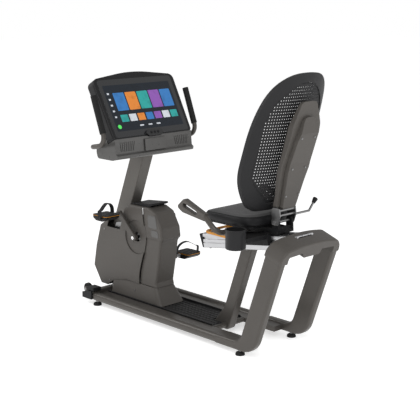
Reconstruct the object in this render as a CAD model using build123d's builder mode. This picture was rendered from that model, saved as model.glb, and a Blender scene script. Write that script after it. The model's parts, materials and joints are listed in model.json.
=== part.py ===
from build123d import *
import os
from math import atan2, cos, degrees, hypot, radians, sin, tan

os.makedirs("parts", exist_ok=True)

# Recumbent exercise bike. Millimetres. +X is the way the rider faces, +Y the rider's left,
# +Z up. The origin is on the floor, at the middle of the whole machine's length and width.

# Overall layout
front_x = 810.0                 # foremost point, the drive housing's nose
rear_x = -810.0                 # rearmost point, the arch cover behind the seat
base_half_width = 216.0         # outer faces of the side rails and rear legs
fit_gap = 0.3                   # clearance between pieces that don't touch
hinge_gap = 0.05                # radial clearance of a shaft in its bore
bolt_gap = 0.15                 # radial clearance of a bolt in its hole

# Side rails and rear legs
rail_bottom = 26.0
rail_height = 48.0
tube_width = 46.0
rail_top = rail_bottom + rail_height
tube_y = base_half_width - tube_width / 2
rail_front_x = 649.0
rail_seam_x = -350.0            # where the straight rail meets the formed leg
flange_inner_y = 109.0          # inner edge of the rail's flat flange
flange_bottom = 34.0
flange_top = 62.0
leg_lean = 19.3                 # legs and post lean back from vertical, degrees
leg_depth = 105.0
leg_axis_x = -546.0             # leg centre line where it would meet the floor
leg_top_s = 572.0               # leg's end, measured along its axis from the floor
tube_fillet = 13.0

# Feet
rear_foot_x = -506.0
front_foot_x = 634.0
foot_radius = 24.0
foot_height = 16.0
stud_radius = 5.0

# Front crossbar and transport wheels
bar_rear_x = 651.0
bar_front_x = 734.0
bar_bottom = 34.0
bar_half_length = 214.0
bar_cap = 12.0
wheel_radius = 32.0
wheel_width = 22.0
wheel_x = front_x - 4.0 - wheel_radius
wheel_y = 150.0
wheel_z = 62.0
wheel_axle_radius = 5.0

# Centre post, spine and footwell
post_depth = 68.0
post_width = 52.0
post_axis_x = -213.5            # post centre line where it would meet the floor
spine_top = 52.0
spine_bottom = 26.0
spine_width = 60.0
cross_tube_x = -236.0
cross_tube_radius = 14.0
cross_tube_z = 50.0
tray_front_x = 640.0
tray_floor = 5.0
tray_wall = 4.0
tray_wall_top = 70.0

# Seat rail
rail_slope = 8.4                # rises toward the rear, degrees
seat_rail_width = 120.0
seat_rail_height = 75.0
seat_rail_front_x = -111.0      # front end of the rail, at its underside
seat_rail_front_z = 453.0
seat_rail_length = 655.0
rail_wall = 6.0
strip_thickness = 2.0

# Arch cover over the legs' tops
arch_wall = 3.0
arch_top_s = 659.0              # top of the arch, measured along the leg axis
arch_skirt_s = 562.0
tongue_half_width = 66.0

# Seat, carriage and handles
carriage_rear_x = -576.0
carriage_front_x = -330.0
carriage_half_width = 82.0
carriage_side = 16.0
carriage_gap = 3.0              # rail top to the carriage's roof, filled by the glide pads
slide_back = 60.0
slide_forward = 150.0
seat_base_z = 632.0
cushion_bottom = 644.0
cushion_height = 58.0
cushion_length = 355.0
cushion_width = 390.0
cushion_front_x = -205.0
arm_tube_radius = 14.0
arm_y = 284.0
arm_root_x = -428.0             # where the arm bar crosses the pedestal
arm_root_z = 612.0
arm_grip_x = -352.0             # rear end of the looped grip
arm_grip_z = 690.0
grip_thickness = 30.0
cup_x = -528.0
cup_y = 252.0
cup_radius = 50.0
cup_wall = 3.0
cup_bottom = 556.0
cup_height = 92.0

# Release bail and recline lever
bail_radius = 7.0
bail_half_width = 92.0
bail_pivot_x = -345.0
bail_pivot_z = 548.0
bail_front_x = -148.0
bail_front_z = 552.0
lever_shaft_radius = 6.0
lever_x = -590.0
lever_z = 684.0
lever_outer_y = 214.0

# Backrest
back_pivot_x = -606.0
back_pivot_z = 668.0
back_pivot_radius = 7.0
back_lean = 16.0
back_radius = 400.0             # shell's side to side curve
back_thickness = 16.0
back_bottom_z = 716.0
back_top_z = 1397.0
back_half_width = 242.0

# Drive: crank, pulley, belt, flywheel
crank_x = 412.0
crank_z = 421.0
crank_length = 170.0
crank_turn = 45.5               # left arm above horizontal, toward the front, degrees
crank_axle_radius = 10.0
arm_inner_y = 92.0
arm_thickness = 17.0
bearing_radius = 21.0
bearing_width = 14.0
pulley_radius = 82.0
pulley_width = 16.0
pulley_y = 34.0
flywheel_x = 622.0
flywheel_z = 205.0
flywheel_radius = 98.0
flywheel_width = 34.0
flywheel_y = -22.0
small_pulley_radius = 20.5
flywheel_axle_radius = 8.0
idler_radius = 15.0
belt_thickness = 3.0
belt_width = 12.0
belt_gap = 0.4

# Pedals
pedal_length = 128.0
pedal_width = 104.0
pedal_height = 34.0
pedal_y = 198.0
spindle_radius = 6.0
strap_width = 24.0
strap_thickness = 3.0
strap_height = 66.0
strap_skew = 19.0
strap_reach = 13.0

# Drive housing
cover_half_width = 80.0
cover_wall = 5.0
fairing_half_width = 68.0
seam_gap = 0.5
recess_radius = 98.0
recess_depth = 6.0
crank_bore = 26.0

# Mast and console
mast_width = 76.0
mast_top_z = 985.0
glass_width = 525.0
glass_height = 335.0
glass_thickness = 4.0
glass_x = 428.0
glass_z = 1151.0
glass_tilt = 29.0
housing_width = 574.0
housing_depth = 62.0
bar_tube_radius = 13.0
grip_radius = 17.0
handlebar_y = 348.0 - 17.0
key_count = 3
key_travel = 1.5
key_pitch = 24.0


shared_nodes = {}               # pieces of one kind and material that share a node


def share(label, piece):
    """Keep a finished piece for the node that holds all of its kind."""
    shared_nodes.setdefault(label, []).extend(piece.part.solids())


def side_plane(y):
    """Sketch plane facing the rider's right, at this distance to the left."""
    return Plane.XZ.offset(-y)


def on_leg(s, ahead):
    """Point of the side view at s along the leaning axis and this far ahead of it."""
    lean = radians(leg_lean)
    return (leg_axis_x - s * sin(lean) + ahead * cos(lean), s * cos(lean) + ahead * sin(lean))


def on_post(s, ahead):
    """Same as on_leg, for the centre post."""
    x, z = on_leg(s, ahead)
    return (x - leg_axis_x + post_axis_x, z)


def rail_bottom_z(x):
    """Height of the seat rail's underside at x."""
    return seat_rail_front_z + (seat_rail_front_x - x) * tan(radians(rail_slope))


def rail_top_z(x):
    """Height of the seat rail's top face at x."""
    return rail_bottom_z(x) + seat_rail_height / cos(radians(rail_slope))


def crank_point(side_sign):
    """Centre of the pedal spindle on this side, in the side view."""
    angle = radians(crank_turn)
    return (crank_x + side_sign * crank_length * cos(angle),
            crank_z + side_sign * crank_length * sin(angle))


def mast_outline(gap):
    """Side view of the mast, grown by a gap; drawn into the line that is open."""
    FilletPolyline((498 - gap, 610), (394 - gap, 880), (352 - gap, mast_top_z + gap),
                   (452 + gap, mast_top_z + gap), (512 + gap, 850), (676 + gap, 440),
                   (560 - gap, 440), close=True, radius=6)


def leaning_plane(s, axis_x):
    """Plane across a leaning tube, its own Y along the tube."""
    lean = radians(leg_lean)
    return Plane(origin=(axis_x - s * sin(lean), 0, s * cos(lean)),
                 x_dir=(0, 1, 0), z_dir=(cos(lean), 0, sin(lean)))


# Straight side rails: a rounded tube with a flat flange toward the footwell.
for side, sign in (("left", 1), ("right", -1)):
    rail_plane = Plane(origin=(rail_seam_x, 0, 0), x_dir=(0, sign, 0), z_dir=(1, 0, 0))
    if sign < 0:
        rail_plane = Plane(origin=(rail_front_x, 0, 0), x_dir=(0, -1, 0), z_dir=(-1, 0, 0))
    with BuildPart() as side_rail:
        with BuildSketch(rail_plane) as rail_section:
            with Locations((tube_y, rail_bottom + rail_height / 2)):
                RectangleRounded(tube_width, rail_height, 20)
                RectangleRounded(tube_width - 8, rail_height - 8, 16, mode=Mode.SUBTRACT)
            flange_width = tube_y - tube_width / 2 + 3 - flange_inner_y
            with Locations((flange_inner_y + flange_width / 2, (flange_bottom + flange_top) / 2)):
                RectangleRounded(flange_width, flange_top - flange_bottom, 4)
                Rectangle(flange_width - 8, flange_top - flange_bottom - 8, mode=Mode.SUBTRACT)
        extrude(amount=rail_front_x - rail_seam_x)
    share("side_rails", side_rail)

# Rear legs: each carries on from its rail, bends up through a large radius and leans back.
rear_corner_x = leg_axis_x - leg_depth / 2 / cos(radians(leg_lean)) - rail_bottom * tan(radians(leg_lean))
front_corner_x = leg_axis_x + leg_depth / 2 / cos(radians(leg_lean)) - rail_top * tan(radians(leg_lean))
for side, sign in (("left", 1), ("right", -1)):
    with BuildPart() as rear_leg:
        with BuildSketch(side_plane(sign * tube_y)) as leg_outline:
            with BuildLine():
                FilletPolyline(
                    (rail_seam_x - seam_gap, rail_top),
                    (front_corner_x, rail_top),
                    on_leg(leg_top_s, leg_depth / 2),
                    on_leg(leg_top_s, -leg_depth / 2),
                    (rear_corner_x, rail_bottom),
                    (rail_seam_x - seam_gap, rail_bottom),
                    radius=[60, 4, 4, 108],
                )
                Line((rail_seam_x - seam_gap, rail_bottom), (rail_seam_x - seam_gap, rail_top))
            make_face()
        extrude(amount=tube_width / 2, both=True)
        side_edges = rear_leg.faces().filter_by(Axis.Y).edges()
        long_edges = [e for e in side_edges if e.length > 60]
        fillet(long_edges, tube_fillet)
        flange_width = tube_y - tube_width / 2 + 3 - flange_inner_y
        with Locations((rail_seam_x - 55 - seam_gap, sign * (flange_inner_y + flange_width / 2),
                        (flange_bottom + flange_top) / 2)):
            Box(110, flange_width, flange_top - flange_bottom)
    share("rear_legs", rear_leg)

# Centre post and spine: the post leans like the legs and sweeps forward into the spine.
post_top = on_post(540, 0)
with BuildPart() as centre_post:
    with BuildSketch(Plane.XZ) as post_outline:
        with BuildLine():
            FilletPolyline(
                (bar_rear_x - fit_gap, spine_top),
                (post_axis_x + 62, spine_top),
                on_post(150, post_depth / 2 + 2),
                on_post(560, post_depth / 2),
                on_post(560, -post_depth / 2),
                on_post(150, -post_depth / 2 + 3),
                (post_axis_x - 44, spine_bottom),
                (bar_rear_x - fit_gap, spine_bottom),
                radius=[20, 110, 4, 4, 90, 24],
            )
            Line((bar_rear_x - fit_gap, spine_bottom), (bar_rear_x - fit_gap, spine_top))
        make_face()
    extrude(amount=post_width / 2, both=True)
    fillet([e for e in centre_post.faces().filter_by(Axis.Y).edges() if e.length > 60], 7)
    rail_cut = Plane(origin=(seat_rail_front_x, 0, seat_rail_front_z), x_dir=(0, 1, 0),
                     z_dir=(sin(radians(rail_slope)), 0, cos(radians(rail_slope))))
    split(bisect_by=rail_cut, keep=Keep.BOTTOM)
centre_post.part.label = "centre_post"
export_step(centre_post.part, "parts/centre_post.step")

# Rear cross tube, in two halves that meet the post's foot.
with BuildPart() as rear_cross_tube:
    for sign in (1, -1):
        tube_plane = Plane(origin=(cross_tube_x, sign * post_width / 2, cross_tube_z),
                           x_dir=(1, 0, 0), z_dir=(0, sign, 0))
        with BuildSketch(tube_plane):
            Circle(cross_tube_radius)
            Circle(cross_tube_radius - 2.5, mode=Mode.SUBTRACT)
        extrude(amount=flange_inner_y - post_width / 2)
share("frame_braces", rear_cross_tube)

# Footwell tray: a shallow ribbed channel between the rails, over the spine.
tray_rear_x = cross_tube_x + cross_tube_radius + 4
tray_half = flange_inner_y - fit_gap
tray_length = tray_front_x - tray_rear_x
with BuildPart() as footwell_tray:
    with Locations(((tray_rear_x + tray_front_x) / 2, 0, spine_top + tray_floor / 2)):
        Box(tray_length, 2 * tray_half, tray_floor)
    for sign in (1, -1):
        with Locations(((tray_rear_x + tray_front_x) / 2, sign * (tray_half - tray_wall / 2),
                        (spine_top + tray_wall_top) / 2)):
            Box(tray_length, tray_wall, tray_wall_top - spine_top)
    with Locations(((tray_rear_x + tray_front_x) / 2, 0, spine_top + tray_floor + 1.5)):
        with GridLocations(1, 26, 1, 7):
            Box(tray_length - 24, 8, 3)
    with BuildSketch(Plane.XY.offset(spine_top - 1)):
        with Locations((post_axis_x + 30, 0)):
            Rectangle(96, post_width + 1)
    extrude(amount=40, mode=Mode.SUBTRACT)
footwell_tray.part.label = "footwell_tray"
export_step(footwell_tray.part, "parts/footwell_tray.step")

# Front crossbar: a wedge section lying across the rails' front ends.
bar_outline = [(bar_rear_x, bar_bottom), (bar_rear_x, 82), (bar_rear_x + 40, 79),
               (bar_front_x, 66), (bar_front_x, bar_bottom)]
with BuildPart() as front_crossbar:
    with BuildSketch(Plane.XZ):
        with BuildLine():
            Polyline(*bar_outline, close=True)
        make_face()
    extrude(amount=bar_half_length, both=True)
    fillet(front_crossbar.edges().filter_by(Axis.Y), 6)
share("front_crossbar", front_crossbar)

# End caps close the crossbar's two ends.
with BuildPart() as crossbar_caps:
    for sign in (1, -1):
        with BuildSketch(side_plane(sign * (bar_half_length + (bar_cap if sign > 0 else 0)))):
            with BuildLine():
                Polyline(*bar_outline, close=True)
            make_face()
        extrude(amount=bar_cap)
share("crossbar_trim", crossbar_caps)

# Saddles: moulded blocks that cover the joint of each rail and the crossbar.
with BuildPart() as rail_saddles:
    for sign in (1, -1):
        with Locations((bar_rear_x + 22, sign * (tube_y - 6), 92)):
            Box(64, 62, 18)
    fillet(rail_saddles.edges().filter_by(Axis.Z), 7)
    fillet(rail_saddles.edges().group_by(Axis.Z)[-1], 6)
    with BuildSketch(Plane.XZ):
        with BuildLine():
            Polyline(*bar_outline, close=True)
        make_face()
    extrude(amount=bar_half_length + 20, both=True, mode=Mode.SUBTRACT)
share("crossbar_trim", rail_saddles)

# Transport wheel forks, axles and wheels at the nose.
fork_reach = wheel_x - bar_front_x
fork_inner = wheel_width / 2 + 2
with BuildPart() as wheel_forks:
    for sign in (1, -1):
        for cheek in (-1, 1):
            cheek_y = sign * wheel_y + cheek * (fork_inner + 3)
            with BuildSketch(side_plane(cheek_y)):
                with Locations((bar_front_x + fork_reach / 2, wheel_z - 10)):
                    Rectangle(fork_reach, 28)
                with Locations((wheel_x, wheel_z)):
                    Circle(15)
                with Locations((wheel_x, wheel_z)):
                    Circle(wheel_axle_radius + bolt_gap, mode=Mode.SUBTRACT)
                with Locations((bar_front_x - 10, wheel_z)):
                    Rectangle(20, 90, mode=Mode.SUBTRACT)
            extrude(amount=3, both=True)
        with Locations((bar_front_x + 2, sign * wheel_y, wheel_z - 10)):
            Box(4, 2 * fork_inner + 1, 28)
share("front_crossbar", wheel_forks)

with BuildPart() as wheel_axles:
    for sign in (1, -1):
        with BuildSketch(side_plane(sign * wheel_y)):
            with Locations((wheel_x, wheel_z)):
                Circle(wheel_axle_radius)
        extrude(amount=fork_inner + 6, both=True)
        for cheek in (-1, 1):
            with BuildSketch(side_plane(sign * wheel_y + cheek * (fork_inner + 8.2))):
                with Locations((wheel_x, wheel_z)):
                    Circle(9)
            extrude(amount=2, both=True)
share("frame_bolts", wheel_axles)

for side, sign in (("left", 1), ("right", -1)):
    with BuildPart() as transport_wheel:
        with BuildSketch(side_plane(sign * wheel_y)):
            with Locations((wheel_x, wheel_z)):
                Circle(wheel_radius)
                Circle(wheel_axle_radius + hinge_gap, mode=Mode.SUBTRACT)
        extrude(amount=wheel_width / 2, both=True)
        rim_edges = transport_wheel.edges().filter_by(GeomType.CIRCLE)
        fillet([e for e in rim_edges if e.radius > wheel_radius - 1], 5)
        for face_sign in (-1, 1):
            with BuildSketch(side_plane(sign * wheel_y + face_sign * wheel_width / 2)):
                with Locations((wheel_x, wheel_z)):
                    Circle(wheel_radius - 9)
                    Circle(wheel_axle_radius + 5, mode=Mode.SUBTRACT)
            extrude(amount=3, both=True, mode=Mode.SUBTRACT)
    transport_wheel.part.label = f"transport_wheel_{side}"
    export_step(transport_wheel.part, f"parts/transport_wheel_{side}.step")

# Levelling feet: a domed pad on a threaded stud with a jam nut, four alike.
feet_places = [(x, sign * tube_y) for x in (rear_foot_x, front_foot_x) for sign in (1, -1)]
with BuildPart() as foot_pads:
    with Locations(*[(x, y, 0) for x, y in feet_places]):
        Cylinder(foot_radius, foot_height, align=(Align.CENTER, Align.CENTER, Align.MIN))
    top_rims = foot_pads.edges().filter_by(GeomType.CIRCLE).group_by(Axis.Z)[-1]
    fillet(top_rims, foot_height - 5)
    with Locations(*[(x, y, foot_height - 6) for x, y in feet_places]):
        Cylinder(stud_radius, 20, align=(Align.CENTER, Align.CENTER, Align.MIN), mode=Mode.SUBTRACT)
foot_pads.part.label = "foot_pads"
export_step(foot_pads.part, "parts/foot_pads.step")

with BuildPart() as foot_studs:
    with Locations(*[(x, y, foot_height - 6) for x, y in feet_places]):
        Cylinder(stud_radius, rail_bottom - foot_height + 6, align=(Align.CENTER, Align.CENTER, Align.MIN))
    with BuildSketch(Plane.XY.offset(rail_bottom - 7)):
        with Locations(*feet_places):
            RegularPolygon(9, 6)
    extrude(amount=7)
share("frame_bolts", foot_studs)

# Seat rail: grooved aluminium extrusion, hollow, rising toward the rear.
slope = radians(rail_slope)
rail_plane = Plane(origin=(seat_rail_front_x, 0, seat_rail_front_z), x_dir=(0, -1, 0),
                   z_dir=(-cos(slope), 0, sin(slope)))
with BuildPart() as seat_rail:
    with BuildSketch(rail_plane):
        with Locations((0, seat_rail_height / 2)):
            RectangleRounded(seat_rail_width, seat_rail_height, 3)
            RectangleRounded(seat_rail_width - 26, seat_rail_height - 2 * rail_wall, 4,
                             mode=Mode.SUBTRACT)
        for sign in (1, -1):
            with Locations((sign * (seat_rail_width / 2 - 3), seat_rail_height * 0.68)):
                Rectangle(8, 13, mode=Mode.SUBTRACT)
            with Locations((sign * (seat_rail_width / 2 - 1.5), seat_rail_height * 0.36)):
                Rectangle(4, 4, mode=Mode.SUBTRACT)
        for groove_y in (-22, 22):
            with Locations((groove_y, seat_rail_height)):
                Rectangle(7, 6, mode=Mode.SUBTRACT)
    extrude(amount=seat_rail_length)
seat_rail.part.label = "seat_rail"
export_step(seat_rail.part, "parts/seat_rail.step")

# Raked end cap on the rail's front.
with BuildPart() as rail_end_cap:
    with BuildSketch(Plane.XZ):
        with BuildLine():
            nose_x = seat_rail_front_x + fit_gap
            top_x = nose_x + seat_rail_height * sin(slope)
            top_z = seat_rail_front_z + seat_rail_height * cos(slope)
            FilletPolyline((nose_x, seat_rail_front_z), (nose_x + 8, seat_rail_front_z - 1),
                           (top_x + 24, top_z - 5), (top_x, top_z), radius=3)
            Line((top_x, top_z), (nose_x, seat_rail_front_z))
        make_face()
    extrude(amount=seat_rail_width / 2, both=True)
share("rail_trim", rail_end_cap)

# Rail bolts from below: through to the post's head plate.
with BuildPart() as rail_bolts:
    for along in (36, 300, 520):
        bolt_x = seat_rail_front_x - along * cos(slope)
        bolt_plane = Plane(origin=(bolt_x, 0, rail_bottom_z(bolt_x)), x_dir=(0, 1, 0),
                           z_dir=(-sin(slope), 0, -cos(slope)))
        with BuildSketch(bolt_plane):
            with Locations((46, 0), (-46, 0)):
                Circle(6)
        extrude(amount=5)
share("frame_bolts", rail_bolts)

# Arch cover: one moulding over both legs' tops and the rail's rear end.
arch_plane = leaning_plane(0, leg_axis_x)
arch_half = base_half_width + arch_wall
slot_inner = tube_y - tube_width / 2 - arch_wall
arch_depth = leg_depth / 2 + arch_wall + fit_gap
with BuildSketch() as arch_outline:
    with BuildLine():
        FilletPolyline(
            (-arch_half, arch_skirt_s), (-arch_half, arch_top_s - 34), (0, arch_top_s + 2),
            (arch_half, arch_top_s - 34), (arch_half, arch_skirt_s),
            radius=[66, 900, 66],
        )
        Polyline((arch_half, arch_skirt_s), (slot_inner, arch_skirt_s),
                 (slot_inner, arch_top_s - 62), (tongue_half_width, arch_top_s - 56),
                 (tongue_half_width, arch_skirt_s + 14), (-tongue_half_width, arch_skirt_s + 14),
                 (-tongue_half_width, arch_top_s - 56), (-slot_inner, arch_top_s - 62),
                 (-slot_inner, arch_skirt_s), (-arch_half, arch_skirt_s))
    make_face()
    inner_corners = [v for v in arch_outline.vertices()
                     if arch_top_s - 64 < v.Y < arch_top_s - 50]
    fillet(inner_corners, 9)
    tongue_corners = [v for v in arch_outline.vertices()
                      if abs(v.Y - arch_skirt_s - 14) < 1 and abs(v.X) < tongue_half_width + 1]
    fillet(tongue_corners, 16)
with BuildPart() as arch_cover:
    with BuildSketch(arch_plane):
        add(arch_outline.sketch)
    extrude(amount=arch_depth, both=True)
    rim_faces = arch_cover.faces().filter_by(lambda f: abs(f.normal_at().dot(arch_plane.z_dir)) > 0.99)
    outer_rim = [e for f in rim_faces for e in f.edges()
                 if arch_plane.to_local_coords(e.center()).Y > arch_top_s - 40
                 or abs(arch_plane.to_local_coords(e.center()).X) > arch_half - 1]
    fillet(outer_rim, 9)
    with BuildSketch(arch_plane):
        with BuildLine():
            inner_half = arch_half - arch_wall
            FilletPolyline(
                (-inner_half, arch_skirt_s - 2), (-inner_half, arch_top_s - 37.5), (0, arch_top_s - 2),
                (inner_half, arch_top_s - 37.5), (inner_half, arch_skirt_s - 2),
                radius=[62, 896, 62],
            )
            Polyline((inner_half, arch_skirt_s - 2), (tube_y - tube_width / 2 - fit_gap, arch_skirt_s - 2),
                     (tube_y - tube_width / 2 - fit_gap, arch_top_s - 58),
                     (tongue_half_width - 4, arch_top_s - 52),
                     (tongue_half_width - 4, arch_skirt_s + 18),
                     (-tongue_half_width + 4, arch_skirt_s + 18),
                     (-tongue_half_width + 4, arch_top_s - 52),
                     (-tube_y + tube_width / 2 + fit_gap, arch_top_s - 58),
                     (-tube_y + tube_width / 2 + fit_gap, arch_skirt_s - 2),
                     (-inner_half, arch_skirt_s - 2))
        make_face()
    extrude(amount=leg_depth / 2 + fit_gap, both=True, mode=Mode.SUBTRACT)
    with BuildSketch(rail_plane):
        with Locations((0, seat_rail_height / 2 - 10)):
            Rectangle(seat_rail_width + 2, seat_rail_height + 20 + 2 * fit_gap)
    extrude(amount=seat_rail_length + 4, mode=Mode.SUBTRACT)
arch_cover.part.label = "arch_cover"
export_step(arch_cover.part, "parts/arch_cover.step")

# Cross braces under the arch: steel heads from each leg's top to the rail's side.
brace_s = arch_top_s - 47
brace_inner = seat_rail_width / 2 + fit_gap
brace_outer = 188.0
with BuildPart() as arch_braces:
    with BuildSketch(arch_plane):
        for sign in (1, -1):
            with Locations((sign * (brace_inner + brace_outer) / 2, brace_s)):
                Rectangle(brace_outer - brace_inner, 8)
            with Locations((sign * (brace_outer - 7), (brace_s + leg_top_s) / 2)):
                Rectangle(14, brace_s - leg_top_s)
    extrude(amount=38, both=True)
share("frame_braces", arch_braces)

# Rubber strips on the rail's top, behind the carriage's travel and along its length.
with BuildPart() as rail_strip:
    strip_plane = Plane(origin=(seat_rail_front_x + seat_rail_height * sin(slope), 0,
                                seat_rail_front_z + seat_rail_height * cos(slope)),
                        x_dir=(0, 1, 0), z_dir=(sin(slope), 0, cos(slope)))
    with BuildSketch(strip_plane):
        with Locations((0, seat_rail_length * 0.47)):
            Rectangle(30, seat_rail_length * 0.9)
    extrude(amount=strip_thickness)
share("rail_trim", rail_strip)

# Drive housing. One hollow outline is cut along its seams into covers, fairing, cap and foot.
housing_bottom = spine_top + tray_floor + 3 + seam_gap
bar_clear = 86.0
housing_outline = [
    (206, housing_bottom), (bar_rear_x - 6, housing_bottom), (bar_rear_x - 6, bar_clear),
    (bar_front_x + 10, bar_clear), (front_x, 186), (784, 312), (741, 440), (647, 503),
    (555, 558), (466, 598), (322, 600), (264, 578), (214, 496), (206, 438), (224, 410),
    (242, 295), (264, 180), (252, 132), (200, 84),
]


def housing_shell(half_width, edge_radius, wall):
    """Hollow body of the drive housing at one half width."""
    with BuildPart() as shell:
        for shrink, sketch_mode in ((0.0, Mode.ADD), (wall, Mode.SUBTRACT)):
            with BuildSketch(Plane.XZ) as outline:
                with BuildLine():
                    Polyline(*housing_outline, close=True)
                make_face()
                fillet(outline.vertices(), 9)
                if shrink:
                    offset(amount=-shrink, mode=Mode.REPLACE)
            extrude(amount=half_width - shrink, both=True, mode=sketch_mode)
            if not shrink:
                side_edges = shell.faces().filter_by(Axis.Y).edges()
                fillet(side_edges, edge_radius)
    return shell.part




def seam_line(shift):
    """Upright seam between a side cover and the fairing, moved this far forward."""
    Polyline((366 + shift, 640), (360 + shift, 556), (352 + shift, 506))
    Spline((352 + shift, 506), (338 + shift, 420), (372 + shift, 290), (396 + shift, 152))


foot_seam = [(396, 152), (500, 156), (620, 132), (690, 86)]
cover_body = housing_shell(cover_half_width, 12, cover_wall)
for side, sign in (("left", 1), ("right", -1)):
    with BuildPart() as side_cover:
        add(cover_body)
        with BuildSketch(side_plane(sign * (cover_half_width - cover_wall - recess_depth))):
            with Locations((crank_x, crank_z)):
                Circle(recess_radius + 5)
        extrude(amount=-sign * (recess_depth + 2))
        with BuildSketch(side_plane(sign * (cover_half_width - recess_depth))):
            with Locations((crank_x, crank_z)):
                Circle(recess_radius)
        extrude(amount=-sign * 20, mode=Mode.SUBTRACT)
        with BuildSketch(side_plane(sign * seam_gap / 2)):
            with BuildLine():
                seam_line(seam_gap / 2)
                Polyline((396 + seam_gap / 2, 152), *foot_seam[1:], (690, 20), (830, 20),
                         (830, 640), (366 + seam_gap / 2, 640))
            make_face()
        extrude(amount=-sign * 100, mode=Mode.INTERSECT)
        with BuildSketch(side_plane(0)):
            with Locations((crank_x, crank_z)):
                Circle(crank_bore)
            with BuildLine():
                mast_hole = mast_outline(fit_gap)
            make_face()
        extrude(amount=-sign * 100, mode=Mode.SUBTRACT)
    side_cover.part.label = f"side_cover_{side}"
    export_step(side_cover.part, f"parts/side_cover_{side}.step")

# Rear fairing and top cap: the narrower spine of the housing, which faces the rider.
cap_seam_z = 430.0
rear_pieces = (("rear_fairing", fairing_half_width, 153, cap_seam_z),
               ("top_cap", fairing_half_width + 5, cap_seam_z + seam_gap, 640))
for label, half_width, low, high in rear_pieces:
    with BuildPart() as rear_piece:
        add(housing_shell(half_width, 14, cover_wall))
        with BuildSketch(Plane.XZ):
            with BuildLine():
                seam_line(-seam_gap / 2)
                Polyline((396 - seam_gap / 2, 152), (150, 152), (150, 640),
                         (366 - seam_gap / 2, 640))
            make_face()
        extrude(amount=100, both=True, mode=Mode.INTERSECT)
        with BuildSketch(Plane.XZ):
            with Locations((300, (low + high) / 2)):
                Rectangle(400, high - low)
        extrude(amount=100, both=True, mode=Mode.INTERSECT)
    rear_piece.part.label = label
    export_step(rear_piece.part, f"parts/{label}.step")

# Foot fairing: the flared base that stands in the footwell.
foot_flare = 14.0
with BuildPart() as foot_fairing:
    for shrink, sketch_mode in ((0.0, Mode.ADD), (cover_wall, Mode.SUBTRACT)):
        for height, spread in ((housing_bottom, foot_flare),):
            with BuildSketch(Plane.XY.offset(height - (1 if shrink else 0))):
                with Locations(((200 + bar_rear_x - 8) / 2, 0)):
                    RectangleRounded(bar_rear_x - 8 - 200 - 2 * shrink,
                                     2 * (cover_half_width + spread - shrink), 30 - shrink)
            with BuildSketch(Plane.XY.offset(152)):
                with Locations(((262 + bar_rear_x - 8) / 2, 0)):
                    RectangleRounded(bar_rear_x - 8 - 262 - 2 * shrink,
                                     2 * (fairing_half_width + 6 - shrink), 26 - shrink)
            loft(mode=sketch_mode)
    with BuildSketch(Plane.XZ):
        with BuildLine():
            Polyline((180, 40), (bar_rear_x - 8, 40), (690, 86 - seam_gap), (620, 132 - seam_gap),
                     (500, 156 - seam_gap), (180, 152), close=True)
        make_face()
    extrude(amount=120, both=True, mode=Mode.INTERSECT)
    with Locations((bar_rear_x - 30, 0, 100)):
        Box(60, 124, 120, mode=Mode.SUBTRACT)
foot_fairing.part.label = "foot_fairing"
export_step(foot_fairing.part, "parts/foot_fairing.step")

# Glossy inserts on the cap's corners, and the cover screws.
with BuildPart() as cap_panels:
    for sign in (1, -1):
        panel_plane = side_plane(sign * (fairing_half_width + 5 + (1.2 if sign > 0 else 0)))
        with BuildSketch(panel_plane):
            with BuildLine():
                FilletPolyline((258, 560), (322, 562), (318, 492), (244, 488), close=True, radius=8)
            make_face()
            with BuildLine():
                FilletPolyline((240, 478), (296, 480), (290, 442), (234, 442), close=True, radius=6)
            make_face()
        extrude(amount=1.2)
cap_panels.part.label = "cap_panels"
export_step(cap_panels.part, "parts/cap_panels.step")

screw_places = [(660, 122, cover_half_width), (700, 420, cover_half_width),
                (430, 108, fairing_half_width + 6 + foot_flare - 3)]
with BuildPart() as cover_screws:
    for sign in (1, -1):
        for screw_x, screw_z, screw_y in screw_places:
            with BuildSketch(side_plane(sign * screw_y)):
                with Locations((screw_x, screw_z)):
                    Circle(5)
                    Circle(2.2, mode=Mode.SUBTRACT)
            extrude(amount=-sign * 1.5)
share("frame_bolts", cover_screws)

# Drive frame: two upright plates on the spine that hold every shaft.
plate_y = (14.0, 52.0)
with BuildPart() as drive_frame:
    for plate in (-plate_y[1], plate_y[1]):
        with BuildSketch(side_plane(plate)):
            with BuildLine():
                FilletPolyline((360, housing_bottom + 6), (700, bar_clear + 8), (700, 300), (620, 470),
                               (450, 500), (372, 470), close=True, radius=18)
            make_face()
            with Locations((crank_x, crank_z)):
                Circle(bearing_radius + 0.02, mode=Mode.SUBTRACT)
            with Locations((flywheel_x, flywheel_z)):
                Circle(flywheel_axle_radius + 0.02, mode=Mode.SUBTRACT)
        extrude(amount=3, both=True)
    for tie_x, tie_z in ((390, 90), (600, 100)):
        with Locations((tie_x, 0, tie_z)):
            Box(30, 2 * plate_y[1] - 6, 8)
    with Locations((610, 0, 428)):
        Box(30, 2 * plate_y[1] - 6, 8)
drive_frame.part.label = "drive_frame"
export_step(drive_frame.part, "parts/drive_frame.step")

with BuildPart() as crank_bearings:
    for plate in (-plate_y[1], plate_y[1]):
        with BuildSketch(side_plane(plate)):
            with Locations((crank_x, crank_z)):
                Circle(bearing_radius)
                Circle(crank_axle_radius + hinge_gap, mode=Mode.SUBTRACT)
        extrude(amount=bearing_width / 2, both=True)
share("drive_bearings", crank_bearings)

# Crank: axle with the big pulley, two arms and their bolts.
with BuildPart() as crank_axle:
    with BuildSketch(Plane.XZ):
        with Locations((crank_x, crank_z)):
            Circle(crank_axle_radius)
    extrude(amount=arm_inner_y, both=True)
share("crank_axle", crank_axle)

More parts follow.
